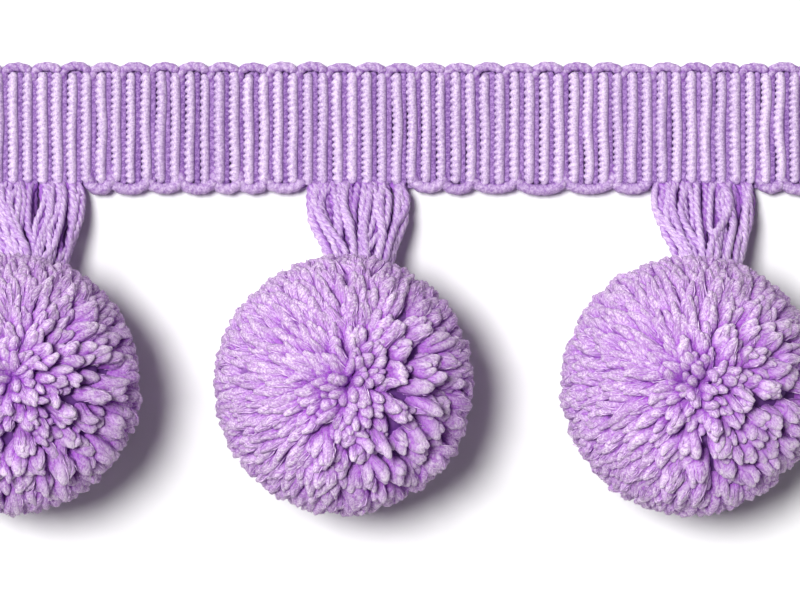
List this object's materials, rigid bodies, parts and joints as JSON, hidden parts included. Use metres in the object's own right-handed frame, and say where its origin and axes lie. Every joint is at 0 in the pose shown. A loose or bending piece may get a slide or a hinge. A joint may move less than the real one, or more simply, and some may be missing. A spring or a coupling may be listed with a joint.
{
  "type": "pompom fringe trim",
  "caption": "Cut length of pompom fringe: a flat ribbed gimp heading with looped edges, and round cut-yarn pompoms hanging from its lower edge on short yarn necks.",
  "frame": {"origin": "middle of the heading's flat back, in the plane that the trim lies on", "axes": "+X along the length of the trim, +Y across the heading towards its plain edge, so that the pompoms lie towards -Y, +Z out of the face"},
  "size_m": [0.0962, 0.0433, 0.0246],
  "materials": {
    "gimp_braid": "lavender viscose gimp cord, ribbed, with a soft silky sheen",
    "neck_yarn": "lavender plied yarn, soft sheen along the plies",
    "cut_yarn_pile": "lavender cut plied yarn, matte and dense"
  },
  "bodies": {
    "root": {"heading": "gimp_braid", "neck_left": "neck_yarn", "neck_middle": "neck_yarn", "neck_right": "neck_yarn", "pompom_left": "cut_yarn_pile", "pompom_middle": "cut_yarn_pile", "pompom_right": "cut_yarn_pile"}
  },
  "joints": []
}
